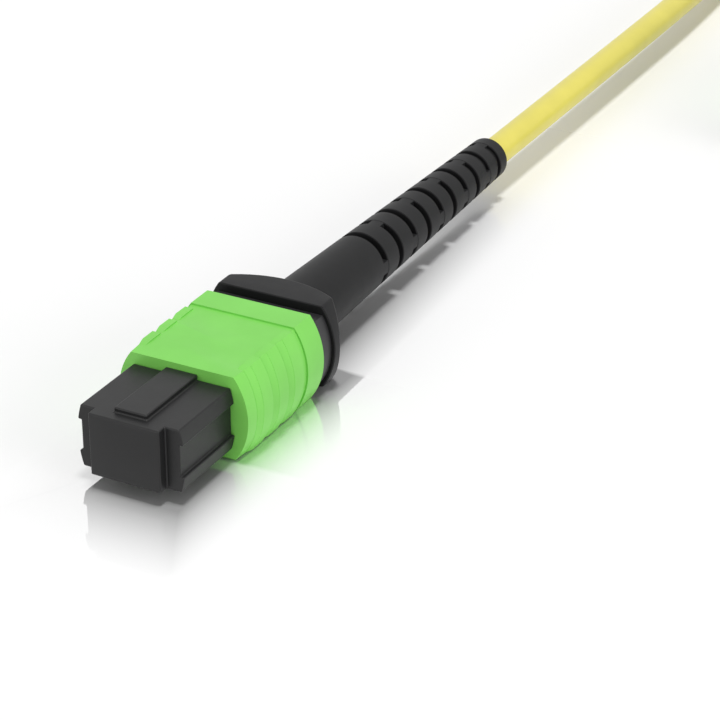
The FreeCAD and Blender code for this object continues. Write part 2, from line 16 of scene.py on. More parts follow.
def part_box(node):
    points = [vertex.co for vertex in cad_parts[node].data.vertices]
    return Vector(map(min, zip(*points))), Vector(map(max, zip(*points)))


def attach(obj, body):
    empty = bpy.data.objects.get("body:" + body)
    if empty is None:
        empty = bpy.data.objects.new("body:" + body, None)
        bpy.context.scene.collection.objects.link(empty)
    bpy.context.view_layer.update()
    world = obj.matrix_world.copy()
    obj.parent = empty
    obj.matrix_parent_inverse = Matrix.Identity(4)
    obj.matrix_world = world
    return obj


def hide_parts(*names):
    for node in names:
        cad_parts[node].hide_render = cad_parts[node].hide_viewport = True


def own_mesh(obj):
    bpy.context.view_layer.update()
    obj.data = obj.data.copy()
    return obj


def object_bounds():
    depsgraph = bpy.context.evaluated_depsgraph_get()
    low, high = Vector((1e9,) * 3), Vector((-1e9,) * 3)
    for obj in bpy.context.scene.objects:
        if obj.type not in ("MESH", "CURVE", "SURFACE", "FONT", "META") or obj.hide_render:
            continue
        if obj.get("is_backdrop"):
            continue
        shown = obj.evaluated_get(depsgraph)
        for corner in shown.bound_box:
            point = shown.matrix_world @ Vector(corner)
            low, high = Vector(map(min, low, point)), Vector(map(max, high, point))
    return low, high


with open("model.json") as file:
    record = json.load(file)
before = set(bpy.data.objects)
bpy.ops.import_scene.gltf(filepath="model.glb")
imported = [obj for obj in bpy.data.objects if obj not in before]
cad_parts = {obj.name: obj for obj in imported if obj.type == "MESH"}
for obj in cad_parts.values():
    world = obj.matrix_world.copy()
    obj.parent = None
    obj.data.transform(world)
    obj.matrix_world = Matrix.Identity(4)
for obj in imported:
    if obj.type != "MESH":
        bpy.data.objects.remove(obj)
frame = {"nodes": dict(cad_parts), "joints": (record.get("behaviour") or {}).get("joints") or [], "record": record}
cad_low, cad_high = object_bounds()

mm = 0.001


def in_mm(values, digits=1):
    """Lengths in millimetres, short enough to print."""
    return [round(value / mm, digits) for value in values]


print("model box from", in_mm(cad_low, 2), "to", in_mm(cad_high, 2), "mm")

# %% [markdown]
# ## Where the two connectors lie
# A patch lead has the same connector at both ends.  Its pieces could be drawn twice, each where it
# lies.  It is simpler to draw them once about an axis, and to move them to either end.  The axis
# runs through the middle of the sleeve, and lengths are counted from the dust cap's front face.
# The near connector's pieces have plain names and the far one's start with far_.

# %% Axes of the connectors
ends = ("", "far_")


def axis_start(end):
    """Middle of the dust cap's front face."""
    sleeve_low, sleeve_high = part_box(end + "coupling_sleeve")
    cap_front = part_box(end + "dust_cap")[0].y
    middle = (sleeve_low + sleeve_high) / 2
    return Vector((middle.x, cap_front, middle.z))


def reach_along(node):
    """Where a piece of the near connector starts and ends along its axis."""
    low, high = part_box(node)
    start = axis_start("")
    return low.y - start.y, high.y - start.y


for end in ends:
    print("connector", end or "near", "starts at", in_mm(axis_start(end), 2))

# %% [markdown]
# ## Camera
# Small parts are shown through a long lens, which keeps their sides nearly parallel.  A wide lens
# from close by would swell the cap and shrink the boot.  So a long lens stands some twenty
# centimetres off, above and to the right of the cap, and the boot runs away to the upper right.

# %% Camera
camera_turn = math.radians(27.9)
camera_rise = math.radians(27.73)
camera_distance = 221.5 * mm
lens_length = 124.6
film_width = 36
nearest_seen = 0.01
farthest_seen = 10
aim_along = 30.0 * mm
aim_right = 4.745 * mm
aim_down = 4.866 * mm


def make_camera():
    """Camera at the angle of a product shot."""
    right = Vector((math.cos(camera_turn), math.sin(camera_turn), 0))
    back = Vector((math.sin(camera_turn) * math.cos(camera_rise),
                   -math.cos(camera_turn) * math.cos(camera_rise), math.sin(camera_rise)))
    up = back.cross(right)
    aim = axis_start("") + Vector((0, aim_along, 0)) + right * aim_right - up * aim_down
    lens = bpy.data.cameras.new("camera")
    lens.lens = lens_length
    lens.sensor_width = film_width
    lens.clip_start = nearest_seen
    lens.clip_end = farthest_seen
    camera = bpy.data.objects.new("camera", lens)
    bpy.context.scene.collection.objects.link(camera)
    camera.location = aim + back * camera_distance
    camera.rotation_euler = (-back).to_track_quat("-Z", "Y").to_euler()
    bpy.context.scene.camera = camera
    return camera


camera = make_camera()
print("camera at", in_mm(camera.location), "mm")

# %% [markdown]
# ## The cable
# A round jacketed cable, stiff enough to run straight out of the boot.  It settles to the ground,
# winds two turns inwards and climbs within the innermost turn.  It then runs half a turn outwards
# on top, and leaves the far side of the coil for the second connector.  A tube of faces could
# follow that way, but one smooth curve with a round section bends evenly and keeps its thickness.
# The free stretches are a few chosen points and the turns come from a loop.

# %% Cable
cable_diameter = 3.0 * mm
low_turn = 1.85 * mm
high_turn = 4.91 * mm
turn_spacing = 3.06 * mm
first_turn = 16.7 * mm
coil_centre = Vector((11.8 * mm, 141.5 * mm, 0))
turns_inward = 2
turns_climbing = 1
turns_outward = 0.5
points_a_turn = 24

lead_points = [
    (0.0, -1.825, 4.0), (0.0, 33.0, 4.0), (0.15, 68.0, 4.0), (0.0, 96.0, 3.9),
    (-2.5, 118.5, 2.1), (-4.9, 133.0, 1.85), (-4.9, 141.5, 1.85)]
tail_points = [
    (24.67, 141.5, 4.91), (24.6, 134.6, 4.9), (23.6, 127.3, 4.0),
    (23.62, 114.0, 4.0), (23.6, 101.4, 4.0), (23.6, 88.83, 4.0)]


def coil_points():
    """The turns, clockwise from the left side of the coil to its right side."""
    climb_radius = first_turn - turns_inward * turn_spacing
    rise = high_turn - low_turn
    points = []
    for step in range(1, int((turns_inward + turns_climbing + turns_outward) * points_a_turn)):
        turns = step / points_a_turn
        share = turns % 1
        lift = math.pi / 2 * share
        climb = climb_radius + turn_spacing * (1 - share - math.cos(lift))
        climb_level = low_turn + rise * math.sin(lift)
        if turns < turns_inward:
            radius, level = first_turn - turns * turn_spacing, low_turn
        elif turns < turns_inward + turns_climbing:
            radius, level = climb, climb_level
        else:
            radius, level = climb + math.sqrt(rise ** 2 - (high_turn - climb_level) ** 2), high_turn
        angle = math.pi - 2 * math.pi * turns
        points.append(coil_centre + Vector((radius * math.cos(angle), radius * math.sin(angle), level)))
    return points


def make_cable():
    """One smooth curve through the lead, the coil and the tail, and its length."""
    route = [Vector(point) * mm for point in lead_points] + coil_points()
    route += [Vector(point) * mm for point in tail_points]
    line = bpy.data.curves.new("cable", "CURVE")
    line.dimensions = "3D"
    spline = line.splines.new("NURBS")
    spline.points.add(len(route) - 1)
    for point, place in zip(spline.points, route):
        point.co = (*place, 1)
    spline.order_u = 3
    spline.use_endpoint_u = True
    spline.resolution_u = 6
    line.bevel_depth = cable_diameter / 2
    line.bevel_resolution = 8
    line.use_fill_caps = True
    cable = bpy.data.objects.new("cable", line)
    bpy.context.scene.collection.objects.link(cable)
    return cable, sum((after - place).length for place, after in zip(route, route[1:]))


cable, cable_length = make_cable()
print("cable length in mm, about", round(cable_length / mm))

# %% [markdown]
# ## Patterns for the finishes
# No moulding or metal is one flat value all over: its colour and sheen drift a little and its
# surface has a grain.  A picture could be wrapped round each piece, but it would stretch at the
# edges.  So the patterns are computed in space, from the piece's own coordinates, and their waves
# are the same size on every piece.

# %% Patterns
tint_start = 0.35
tint_end = 0.65


def start_material(name):
    """Material with one shader, and the two nodes every pattern starts from."""
    material = bpy.data.materials.new(name)
    material.use_nodes = True
    nodes = material.node_tree.nodes
    shader = nodes["Principled BSDF"]
    place = nodes.new("ShaderNodeTexCoord")
    return material, nodes, material.node_tree.links, shader, place


def noise(nodes, links, place, per_mm):
    """Cloudy pattern with so many waves in a millimetre."""
    pattern = nodes.new("ShaderNodeTexNoise")
    pattern.inputs["Scale"].default_value = per_mm / mm
    links.new(place.outputs["Object"], pattern.inputs["Vector"])
    return pattern


def tint(nodes, links, pattern, shader, dark, light):
    """Colour that drifts between two near shades."""
    ramp = nodes.new("ShaderNodeValToRGB")
    ramp.color_ramp.elements[0].position = tint_start
    ramp.color_ramp.elements[1].position = tint_end
    ramp.color_ramp.elements[0].color = (*dark, 1)
    ramp.color_ramp.elements[1].color = (*light, 1)
    links.new(pattern.outputs["Fac"], ramp.inputs["Fac"])
    links.new(ramp.outputs["Color"], shader.inputs["Base Color"])


def drift(nodes, links, pattern, shader, socket, low, high):
    """Shader value that drifts between two limits."""
    limits = nodes.new("ShaderNodeMapRange")
    limits.inputs["To Min"].default_value = low
    limits.inputs["To Max"].default_value = high
    links.new(pattern.outputs["Fac"], limits.inputs["Value"])
    links.new(limits.outputs["Result"], shader.inputs[socket])


def grain(nodes, links, pattern, shader, strength, depth):
    """Fine relief from a pattern."""
    relief = nodes.new("ShaderNodeBump")
    relief.inputs["Strength"].default_value = strength
    relief.inputs["Distance"].default_value = depth
    links.new(pattern.outputs["Fac"], relief.inputs["Height"])
    links.new(relief.outputs["Normal"], shader.inputs["Normal"])


print("four patterns: cloud, tint, drift and grain")

# %% [markdown]
# ## Plastic and clear finishes
# Cap, sleeve, boot and jacket are moulded or extruded plastic, with the fine grain that a
# spark-eroded mould leaves.  They could be separate materials drawn one by one.  One maker with a
# colour, a roughness and a gloss keeps them of a family.  Glass and the ribbon's coating are the
# same with light let through.

# %% Plastic
cloud_per_mm = 0.25
haze_per_mm = 0.8
rough_drift = 0.05
grain_depth = 0.02 * mm


def moulded(name, colour, rough, gloss=0.5, grain_per_mm=9.0, grain_strength=0.12, spread=0.06):
    """Moulded plastic, its colour drifting by the share called spread."""
    material, nodes, links, shader, place = start_material(name)
    cloud = noise(nodes, links, place, cloud_per_mm)
    dark = [value * (1 - spread) for value in colour]
    light = [min(1.0, value * (1 + spread)) for value in colour]
    tint(nodes, links, cloud, shader, dark, light)
    haze = noise(nodes, links, place, haze_per_mm)
    drift(nodes, links, haze, shader, "Roughness", rough - rough_drift, rough + rough_drift)
    grain(nodes, links, noise(nodes, links, place, grain_per_mm), shader, grain_strength, grain_depth)
    shader.inputs["Specular IOR Level"].default_value = gloss
    return material


def clear(name, colour):
    """Glass or clear coating with faint clouding."""
    material = moulded(name, colour, rough=0.12, grain_per_mm=4.0, grain_strength=0.04)
    shader = material.node_tree.nodes["Principled BSDF"]
    shader.inputs["Transmission Weight"].default_value = 0.6
    return material


materials = {
    "cap_black": moulded("cap_black", (0.011, 0.011, 0.0113), rough=0.42, gloss=0.3),
    "housing_black": moulded("housing_black", (0.014, 0.014, 0.015), rough=0.45),
    "sleeve_green": moulded("sleeve_green", (0.2, 0.6, 0.1), rough=0.42, gloss=0.25,
                            grain_per_mm=7.0, grain_strength=0.08, spread=0.03),
    "ferrule_grey": moulded("ferrule_grey", (0.05, 0.052, 0.055), rough=0.5),
    "boot_soft": moulded("boot_soft", (0.02, 0.02, 0.02), rough=0.6, gloss=0.35),
    "boot_black": moulded("boot_black", (0.012, 0.012, 0.0125), rough=0.5, gloss=0.15),
    "cable_yellow": moulded("cable_yellow", (0.68, 0.6, 0.1), rough=0.36, gloss=0.45,
                            grain_per_mm=5.0, grain_strength=0.06, spread=0.03),
    "tie_black": moulded("tie_black", (0.015, 0.015, 0.016), rough=0.5),
    "fibre_glass": clear("fibre_glass", (0.8, 0.87, 0.9)),
    "ribbon_clear": clear("ribbon_clear", (0.7, 0.74, 0.78)),
}
print(len(materials), "plastic and clear finishes")

# %% [markdown]
# ## Metal and yarn
# The springs are drawn wire and the crimp ring is plated, so both have faint streaks along the
# piece.  The strength yarn is a bundle of threads.  Real threads would be thousands of thin forms
# that nobody sees inside the ring, so a wave pattern stands for them.

# %% Metal and yarn
streak_stretch = (1.0, 0.08, 1.0)


def metal(name, colour, rough, streaks_per_mm):
    """Drawn or plated metal with faint streaks along the piece."""
    material, nodes, links, shader, place = start_material(name)
    stretch = nodes.new("ShaderNodeMapping")
    stretch.inputs["Scale"].default_value = streak_stretch
    links.new(place.outputs["Object"], stretch.inputs["Vector"])
    streaks = nodes.new("ShaderNodeTexNoise")
    streaks.inputs["Scale"].default_value = streaks_per_mm / mm
    links.new(stretch.outputs["Vector"], streaks.inputs["Vector"])
    tint(nodes, links, streaks, shader, dark=[value * 0.9 for value in colour], light=colour)
    drift(nodes, links, streaks, shader, "Roughness", low=rough - 0.06, high=rough + 0.08)
    grain(nodes, links, streaks, shader, strength=0.1, depth=0.01 * mm)
    shader.inputs["Metallic"].default_value = 1.0
    return material


def braided(name, colour):
    """Loose yarn with threads along the axis."""
    material, nodes, links, shader, place = start_material(name)
    threads = nodes.new("ShaderNodeTexWave")
    threads.inputs["Scale"].default_value = 2.5 / mm
    threads.inputs["Distortion"].default_value = 3.0
    links.new(place.outputs["Object"], threads.inputs["Vector"])
    tint(nodes, links, threads, shader, dark=[value * 0.6 for value in colour], light=colour)
    drift(nodes, links, threads, shader, "Roughness", low=0.7, high=0.9)
    grain(nodes, links, threads, shader, strength=0.5, depth=0.05 * mm)
    return material


materials["spring_steel"] = metal("spring_steel", (0.6, 0.6, 0.58), rough=0.28, streaks_per_mm=3.0)
materials["crimp_metal"] = metal("crimp_metal", (0.62, 0.60, 0.55), rough=0.32, streaks_per_mm=2.0)
materials["yarn_yellow"] = braided("yarn_yellow", (0.8, 0.6, 0.15))
print(len(materials), "finishes in all")

# %% [markdown]
# ## Putting a piece in place
# On the real connector every moulding is a piece of its own, and the cap, the sleeve and the
# ferrule slide.  One joined mesh would look the same at rest but nothing in it could move.  So
# each piece is drawn as a bare form about the axis.  This step gives it smooth shading with crisp
# edges, moves it to its connector, lets it ride on the body that the model gives it, and puts it
# in place of the model's plain solid.

# %% Place a piece
bodies = frame["record"]["behaviour"]["bodies"]
body_of = {node: body for body, held in bodies.items() for node in held}
slot_of = {row["node"]: row["material_slot"] for row in frame["record"]["subparts"]}
crisp_edge = 32  # degrees between two faces
same_place = 0.001 * mm


def lies_across(edge):
    """True for an edge that runs square to the axis."""
    start, end = (corner.co for corner in edge.verts)
    return abs(end.y - start.y) < same_place


def settle(form, crisp_across):
    """Outward faces, smooth but for sharp edges; edges across the axis have their own angle."""
    bmesh.ops.recalc_face_normals(form, faces=form.faces)
    for face in form.faces:
        face.smooth = True
    for edge in form.edges:
        limit = crisp_across if lies_across(edge) else crisp_edge
        if len(edge.link_faces) == 2 and edge.calc_face_angle(0) > math.radians(limit):
            edge.smooth = False


def put_in_place(form, node, place, crisp_across=crisp_edge):
    """Piece that stands for a solid of the model."""
    settle(form, crisp_across)
    bmesh.ops.translate(form, verts=form.verts, vec=place)
    mesh = bpy.data.meshes.new(node + "_look")
    form.to_mesh(mesh)
    form.free()
    piece = bpy.data.objects.new(node + "_look", mesh)
    bpy.context.scene.collection.objects.link(piece)
    piece.data.materials.append(materials[slot_of[node]])
    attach(piece, body_of[node])
    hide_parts(node)
    return piece


# %% [markdown]
# ## Copies of the flat-sided mouldings
# Cap, sleeve, housing and ferrule could be built up again from boxes and cuts.  They are already
# right in the model, down to their channels and windows, but arrive as loose triangles.  So a copy
# is joined up and its flat faces are made whole.  On the cap, the front plate is brought level with
# the body, so that one edge runs round it.

# %% Join up the copies
weld = 0.0005 * mm
plate_weld = 0.002 * mm
flat_angle = math.radians(0.2)
within_plate = 0.5 * mm
behind_plate = 1.1 * mm
plate_step = 0.03 * mm


def level_plate(form):
    """Brings the top and bottom of the cap's front plate level with its body."""
    front = min(corner.co.y for corner in form.verts)
    low = min(corner.co.z for corner in form.verts)
    middle = axis_start("").z
    across = (min(corner.co.x for corner in form.verts) + max(corner.co.x for corner in form.verts)) / 2
    for corner in form.verts:
        height = corner.co.z - middle
        if corner.co.y < front + behind_plate and abs(abs(height) - (middle - low)) < plate_step:
            corner.co.z = middle + math.copysign(middle - low, height)
    plate = [corner for corner in form.verts if corner.co.y < front + within_plate]
    plate_half = max(abs(corner.co.x - across) for corner in plate)
    for side in (1, -1):
        everything = form.verts[:] + form.edges[:] + form.faces[:]
        bmesh.ops.bisect_plane(form, geom=everything, plane_co=(across + side * plate_half, 0, 0),
                               plane_no=(1, 0, 0))
    bmesh.ops.remove_doubles(form, verts=form.verts, dist=plate_weld)


def joined_copy(node):
    """The model's own solid with its triangles joined into whole faces."""
    form = bmesh.new()
    form.from_mesh(frame["nodes"][node].data)
    bmesh.ops.remove_doubles(form, verts=form.verts, dist=weld)
    if node.endswith("dust_cap"):
        level_plate(form)
    bmesh.ops.dissolve_limit(form, angle_limit=flat_angle, verts=form.verts, edges=form.edges)
    return form


print("a copy's corners closer than", weld / mm, "mm become one")

# %% [markdown]
# ## Fine lines on the sleeve
# The mould of the real sleeve leaves a fine line where each rib's ramp begins and where it meets
# its land.  A groove cut with a boolean would break up the bowed sides.  So the creases that run
# across the sides are bevelled, and the middle of each bevel is sunk a few hundredths of a
# millimetre.

# %% Sleeve lines
line_half_width = 0.045 * mm
line_depth = 0.04 * mm
bowed_side = 4.9 * mm
least_crease = 4  # degrees between two faces


def rib_lines(form, middle):
    """Sinks the lines into a sleeve and tells how many there are along it."""

    def on_side(corner):
        return abs(corner.co.x - middle.x) > bowed_side

    def is_crease(edge):
        if not (on_side(edge.verts[0]) and len(edge.link_faces) == 2 and lies_across(edge)):
            return False
        return least_crease < math.degrees(edge.calc_face_angle(0)) < crisp_edge

    creases = [edge for edge in form.edges if is_crease(edge)]
    places = {round(edge.verts[0].co.y / mm, 3) for edge in creases}
    bmesh.ops.bevel(form, geom=creases, offset=line_half_width, segments=2, profile=0.5,
                    affect="EDGES", material=-1)
    for corner in form.verts:
        if round(corner.co.y / mm, 3) in places and on_side(corner):
            inward = Vector((middle.x - corner.co.x, 0, middle.z - corner.co.z)).normalized()
            corner.co += inward * line_depth
    return len(places)


print("lines", 2 * line_half_width / mm, "mm wide and", line_depth / mm, "mm deep")

# %% [markdown]
# ## Pieces taken over from the model
# A mould leaves a small rounding on every edge, which catches the light.  It could be modelled edge
# by edge.  A bevel modifier does the same for all sharp edges of a piece with one width, wide on
# the cap and fine on the small pieces inside.

# %% Take the pieces over
rounding_steps = 3
sleeve_crisp_across = 6


def take_over(node, rounding_width, crisp_across):
    """Joined copy in its place, with rounded edges where a width is given."""
    form = joined_copy(node)
    if node.endswith("coupling_sleeve"):
        end = node.replace("coupling_sleeve", "")
        print(node, "has", rib_lines(form, axis_start(end)), "lines on each side")
    piece = put_in_place(form, node, Vector(), crisp_across)
    if rounding_width:
        rounding = piece.modifiers.new("edges", "BEVEL")
        rounding.width = rounding_width
        rounding.segments = rounding_steps
        rounding.limit_method = "ANGLE"
        rounding.angle_limit = math.radians(crisp_edge)
        rounding.harden_normals = True
    return piece


rounding_widths = {
    "dust_cap": 0.13 * mm, "coupling_sleeve": 0.03 * mm, "inner_housing": 0.05 * mm,
    "mt_ferrule": 0.03 * mm, "fibres": 0.0, "fibre_ribbon": 0.02 * mm, "ferrule_boot": 0.05 * mm,
    "pin_keeper": 0.04 * mm, "spring_push": 0.04 * mm, "crimp_ring": 0.05 * mm, "aramid_yarn": 0.0}
for end in ends:
    for node, width in rounding_widths.items():
        take_over(end + node, width, sleeve_crisp_across if node == "coupling_sleeve" else crisp_edge)
print("taken over:", ", ".join(rounding_widths))

# %% [markdown]
# ## Boot: sizes and slots
# The soft boot is one moulding: a bowed flange behind the sleeve, and a tapered tube whose crossed
# slots let it bend with the cable.  A cone with painted stripes would do only from afar.  So each
# slot is real: they come in pairs, from above and below and then from both sides, and towards the
# tip they grow a little narrower and closer.

# %% Boot sizes
boot_front, boot_rear = reach_along("strain_relief_boot")
boot_length = boot_rear - boot_front
sleeve_width = 12.4 * mm
flange_corner = 10.2 * mm
flange_height = 7.84 * mm
flange_bulge = 12.76 * mm
flange_depth = 3.47 * mm
flange_back_radius = 9.8 * mm
boot_root_radius = 3.225 * mm
boot_tip_radius = 2.13 * mm
boot_core_radius = 1.85 * mm
boot_bore_radius = 1.55 * mm
boot_web = 1.24 * mm
slot_count = 10
slot_first = 0.365 * boot_length
slot_span = 0.583 * boot_length
slot_pitch_fall = 0.085 * mm
slot_width = 0.87 * mm
slot_width_fall = 0.013 * mm


def slot_places():
    """Front edge and back edge of each pair of slots."""
    gaps = slot_count - 1
    pitch = slot_span / gaps + slot_pitch_fall * (gaps - 1) / 2
    places = []
    start = boot_front + slot_first
    for step in range(slot_count):
        places.append((start, start + slot_width - step * slot_width_fall))
        start += pitch - step * slot_pitch_fall
    return places


def boot_radius(along):
    """Radius of the tapered tube."""
    return boot_root_radius + (boot_tip_radius - boot_root_radius) * (along - boot_front) / boot_length


print("boot slots start at", in_mm(start for start, finish in slot_places()))

# %% [markdown]
# ## Boot: rings, core and webs
# Between two pairs of slots stands a ring with soft edges, and two narrow webs join it to the next
# across a core that hides the cable.  Slots cut out of a solid tube leave ragged rims.  Instead
# each ring is turned round the axis from its outline, and each web is pushed out of its section.

# %% Rings and webs
ring_edge = 0.07 * mm
ring_steps = 64
web_inset = 0.03 * mm
web_root = 0.05 * mm
web_steps = 6


def drawn_loop(form, points):
    """Closed line through some points."""
    corners = [form.verts.new(point) for point in points]
    return corners, [form.edges.new(pair) for pair in zip(corners, corners[1:] + corners[:1])]


def turn_outline(form, outline, steps):
    """Turns a closed outline of radius and place along the axis once round the axis."""
    corners, sides = drawn_loop(form, [(radius, along, 0) for radius, along in outline])
    bmesh.ops.spin(form, geom=corners + sides, cent=(0, 0, 0), axis=(0, 1, 0),
                   angle=2 * math.pi, steps=steps, use_merge=True)


def push_out(form, faces, length):
    """Pushes faces that lie across the axis out along it."""
    made = bmesh.ops.extrude_face_region(form, geom=faces)["geom"]
    corners = [item for item in made if isinstance(item, bmesh.types.BMVert)]
    bmesh.ops.translate(form, verts=corners, vec=(0, length, 0))


def boot_ring(form, start, end):
    """One ring of the boot, with rounded edges and a bore."""
    turn_outline(form, [
        (boot_bore_radius, start), (boot_radius(start) - ring_edge, start),
        (boot_radius(start), start + ring_edge), (boot_radius(end), end - ring_edge),
        (boot_radius(end) - ring_edge, end), (boot_bore_radius, end)], ring_steps)


def boot_webs(form, start, end, across):
    """The two webs that join a ring to the next; across is true where they stand left and right."""
    half = boot_web / 2
    outer = boot_radius(end) - web_inset
    turn = math.asin(half / outer)
    for side in (1, -1):
        section = [(side * boot_bore_radius, -half)]
        for step in range(web_steps + 1):
            angle = turn * (2 * step / web_steps - 1)
            section.append((side * outer * math.cos(angle), outer * math.sin(angle)))
        section.append((side * boot_bore_radius, half))
        front = start - web_root
        corners = [form.verts.new((out, front, aside) if across else (aside, front, out))
                   for out, aside in section]
        push_out(form, [form.faces.new(corners)], end - start + 2 * web_root)


print("a web is", boot_web / mm, "mm wide")

# %% [markdown]
# ## Boot: outline of the flange
# Seen from the front, the flange has a flat top and bottom, two bowed sides and rounded corners.
# A box with bevelled sides would have straight ones.  So a quarter of the outline is worked out
# from its two arcs, and the rest is mirrored from it.  Points along the flat top and bottom let the
# outline follow a curved back later on.

# %% Flange outline
outline_rounding = 0.3 * mm
side_steps = 14
corner_steps = 5
flat_points = 13


def bowed_ring(corner, height, bulge):
    """Outline with a flat top and bottom, two bowed sides and rounded corners."""
    bow = (bulge - corner) / 2
    radius = (height ** 2 / 4 + bow ** 2) / (2 * bow)
    middle = bulge / 2 - radius
    top = height / 2 - outline_rounding
    slope = math.asin(top / (radius - outline_rounding))
    across = middle + (radius - outline_rounding) * math.cos(slope)
    quarter = []
    for step in range(side_steps // 2 + 1):
        angle = slope * 2 * step / side_steps
        quarter.append((middle + radius * math.cos(angle), radius * math.sin(angle)))
    for step in range(1, corner_steps + 1):
        angle = slope + (math.pi / 2 - slope) * step / corner_steps
        quarter.append((across + outline_rounding * math.cos(angle),
                        top + outline_rounding * math.sin(angle)))
    left_top = [(-x, z) for x, z in reversed(quarter)]
    left_low = [(-x, -z) for x, z in quarter[1:]]
    right_low = [(x, -z) for x, z in reversed(quarter[1:])]
    return [Vector((x, 0, z)) for x, z in quarter + left_top + left_low + right_low]


def flange_ring(inward):
    """Outline of the flange with points all along its flat top and bottom."""
    ring = bowed_ring(flange_corner - 2 * inward, flange_height - 2 * inward, flange_bulge - 2 * inward)
    half = len(ring) // 2
    corner = half // 2 + 1
    top_right, top_left = ring[corner - 1], ring[corner]
    flat = [top_right.lerp(top_left, (step + 1) / (flat_points + 1)) for step in range(flat_points)]
    below = [Vector((-point.x, 0, -point.z)) for point in flat]
    return ring[:corner] + flat + ring[corner:half + corner] + below + ring[half + corner:]


print("flange outline of", len(flange_ring(0)), "points")

# %% [markdown]
# ## Boot: flange
# The flange's back is rounded in plan and along its edge.  The outline could be extruded and
# bevelled, but the curved back would pull the bevel apart.  So rings of points are drawn one behind
# the other, each a little smaller near an edge, and a skin is laid over them.  The open ends are
# closed by narrow upright strips, which follow the curve of the back.

# %% Flange
front_edge = 0.08 * mm
back_edge = 0.3 * mm
back_steps = 4


def skin(form, rings):
    """Skin over closed rings of points, with as many points in each."""
    made = [[form.verts.new(point) for point in ring] for ring in rings]
    for ring, after in zip(made, made[1:]):
        for step in range(len(ring)):
            form.faces.new((ring[step - 1], ring[step], after[step], after[step - 1]))
    return made[0], made[-1]


def close_across(form, ring):
    """Face of narrow upright strips between the upper and the lower half of a ring."""
    for step in range(len(ring) // 2):
        corners = (ring[step], ring[step + 1], ring[-step - 1], ring[-step])
        form.faces.new(tuple(dict.fromkeys(corners)))


def boot_flange(form):
    """Bowed flange, its back rounded in plan and along its edge."""
    end = boot_front + flange_depth
    rings = []
    for inward, along in ((front_edge, boot_front), (0, boot_front + front_edge)):
        rings.append([point + Vector((0, along, 0)) for point in flange_ring(inward)])
    for step in range(back_steps + 1):
        turn = math.pi / 2 * step / back_steps
        along = end - back_edge * (1 - math.sin(turn)) - flange_back_radius
        ring = flange_ring(back_edge * (1 - math.cos(turn)))
        for point in ring:
            point.y = along + math.sqrt(flange_back_radius ** 2 - point.x ** 2)
        rings.append(ring)
    for ring in skin(form, rings):
        close_across(form, ring)


print("flange", in_mm([flange_bulge, flange_depth, flange_height], 2), "mm")

# %% [markdown]
# ## Boot: the whole
# The real boot is moulded in one.  Here flange, core, rings and webs stay closed forms of their
# own, sunk into each other inside one mesh.  They could be united with a boolean, but nothing of
# that would show.

# %% Boot
tube_start = 0.5 * mm
core_lap = 0.1 * mm
core_stop = 0.3 * mm
core_steps = 32


def make_boot():
    """The whole boot of one connector."""
    form = bmesh.new()
    boot_flange(form)
    places = slot_places()
    first = places[0][0]
    boot_ring(form, boot_front + tube_start, first)
    turn_outline(form, [
        (boot_core_radius, first - core_lap), (boot_core_radius, boot_rear - core_stop),
        (boot_bore_radius, boot_rear - core_stop), (boot_bore_radius, first - core_lap)], core_steps)
    starts = [start for start, finish in places[1:]] + [boot_rear]
    for step, (start, finish) in enumerate(places):
        boot_webs(form, start, finish, step % 2 == 0)
        boot_ring(form, finish, starts[step])
    return form


for end in ends:
    boot = put_in_place(make_boot(), end + "strain_relief_boot", axis_start(end))
    print(boot.name, "has", len(boot.data.polygons), "faces")

# %% [markdown]
# ## Springs
# Round wire wound to a coil.  The pair beside the housing pushes the sleeve forward, and the oval
# one behind the ferrule lets it float.  A spin makes a round coil, but squeezing that to an oval
# would flatten its wire too.  So rings of points are set along either coil and skinned.

# %% Wire of a spring
sleeve_wire = 0.2 * mm
sleeve_turns = 6
ferrule_wire = 0.4 * mm
ferrule_turns = 5
steps_a_turn = 24
wire_sides = 8


def wound_wire(wire, width, height, turns, start, end, side=0.0):
    """Round wire swept along a coil about the axis, with closed ends."""
    form = bmesh.new()
    rings = []
    for step in range(turns * steps_a_turn + 1):
        angle = 2 * math.pi * step / steps_a_turn
        along = start + wire / 2 + (end - start - wire) * step / (turns * steps_a_turn)
        out = Vector((math.cos(angle) * width, 0, math.sin(angle) * height)).normalized()
        centre = Vector((side + math.cos(angle) * (width - wire) / 2, along,
                         math.sin(angle) * (height - wire) / 2))
        ring = []
        for corner in range(wire_sides):
            around = 2 * math.pi * corner / wire_sides
            reach = Vector((0, wire / 2 * math.sin(around), 0))
            ring.append(centre + out * (wire / 2 * math.cos(around)) + reach)
        rings.append(ring)
    for ring in skin(form, rings):
        form.faces.new(ring)
    return form


print("a turn of wire has", steps_a_turn, "rings of", wire_sides, "points")

# %% [markdown]
# ## Springs in place
# A spring fills the room that it has between two pieces, so its ends come from the model's own box.
# When its piece moves, its front end has to follow and its back end stays.  It could be bent with
# bones, and a squash along the axis would do the same for a straight spring.  Here each spring only
# gets a mesh of its own.

# %% Springs
def shorten(spring):
    """Gives a spring a mesh of its own."""
    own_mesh(spring)


